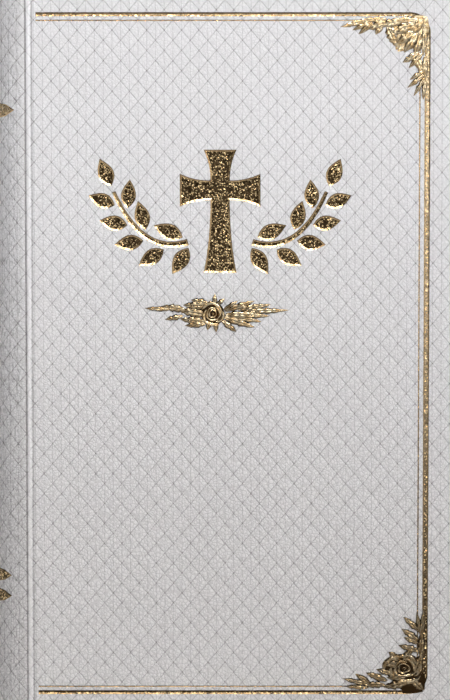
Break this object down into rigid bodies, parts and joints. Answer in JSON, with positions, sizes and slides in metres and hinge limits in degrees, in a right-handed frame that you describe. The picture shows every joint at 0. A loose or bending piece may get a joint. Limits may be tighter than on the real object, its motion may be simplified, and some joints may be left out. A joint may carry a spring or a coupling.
{
  "type": "hardback bible",
  "caption": "Hardback bible bound in white leatherette with gold foil ornament; covers, flyleaves and the sewn leaves open on their own hinges.",
  "frame": {"origin": "centre of the closed book's footprint, on the surface that its tail edges stand on", "axes": "+X from the spine to the fore-edge, +Y from the front cover to the back cover, +Z from tail to head"},
  "size_m": [0.1414, 0.027, 0.217],
  "materials": {
    "cover_leather": "white pebbled leatherette, satin",
    "gold_foil": "stamped gold foil, glossy with a fine glitter",
    "board": "grey board, matt",
    "card": "thin card, matt",
    "endpaper": "smooth white endpaper",
    "bible_paper": "thin bible paper, gilt on the cut edges",
    "cloth": "open cotton mull and cloth lining",
    "thread": "linen sewing thread",
    "headband_silk": "woven headband, white and gold"
  },
  "bodies": {
    "rear_block": {"section_10": "bible_paper", "section_11": "bible_paper", "section_12": "bible_paper", "section_13": "bible_paper", "section_14": "bible_paper", "section_15": "bible_paper", "section_16": "bible_paper", "section_17": "bible_paper", "section_18": "bible_paper", "rear_sewing_thread": "thread", "rear_hinge_lining": "cloth", "spine_skin": "cover_leather", "spine_liner": "card", "mull": "cloth", "back_lining": "card", "headband": "headband_silk", "tailband": "headband_silk", "spine_upper_ornament": "gold_foil", "spine_lower_ornament": "gold_foil"},
    "front_block": {"section_01": "bible_paper", "section_02": "bible_paper", "section_03": "bible_paper", "section_04": "bible_paper", "section_05": "bible_paper", "section_06": "bible_paper", "section_07": "bible_paper", "section_08": "bible_paper", "section_09": "bible_paper", "front_sewing_thread": "thread", "front_hinge_lining": "cloth"},
    "front_leaf": {"front_flyleaf": "endpaper"},
    "front_cover": {"front_board": "board", "front_cover_skin": "cover_leather", "front_infill": "card", "front_pastedown": "endpaper", "border_band": "gold_foil", "border_hairline": "gold_foil", "upper_corner_spray": "gold_foil", "lower_corner_spray": "gold_foil", "title_emblem": "gold_foil", "floral_spray": "gold_foil"},
    "rear_leaf": {"rear_flyleaf": "endpaper"},
    "back_cover": {"rear_board": "board", "back_cover_skin": "cover_leather", "rear_infill": "card", "rear_pastedown": "endpaper"}
  },
  "joints": [
    {"name": "centre_fold", "type": "hinge", "parent": "rear_block", "child": "front_block", "pos_m": [-0.06995, 0, 0.1085], "axis": [0, 0, 1], "range_deg": [-178, 0], "deforming": ["spine_skin", "spine_liner", "mull", "back_lining", "headband", "tailband", "spine_upper_ornament", "spine_lower_ornament"]},
    {"name": "front_flyleaf_turn", "type": "hinge", "parent": "front_block", "child": "front_leaf", "pos_m": [-0.05825, -0.01355, 0.1085], "axis": [0, 0, 1], "range_deg": [-180, 0]},
    {"name": "front_cover_hinge", "type": "hinge", "parent": "front_leaf", "child": "front_cover", "pos_m": [-0.05825, -0.01355, 0.1085], "axis": [0, 0, -1], "range_deg": [0, 180]},
    {"name": "rear_flyleaf_turn", "type": "hinge", "parent": "rear_block", "child": "rear_leaf", "pos_m": [-0.05825, 0.0137, 0.1085], "axis": [0, 0, 1], "range_deg": [0, 180]},
    {"name": "back_cover_hinge", "type": "hinge", "parent": "rear_leaf", "child": "back_cover", "pos_m": [-0.05825, 0.0137, 0.1085], "axis": [0, 0, 1], "range_deg": [0, 180]}
  ]
}
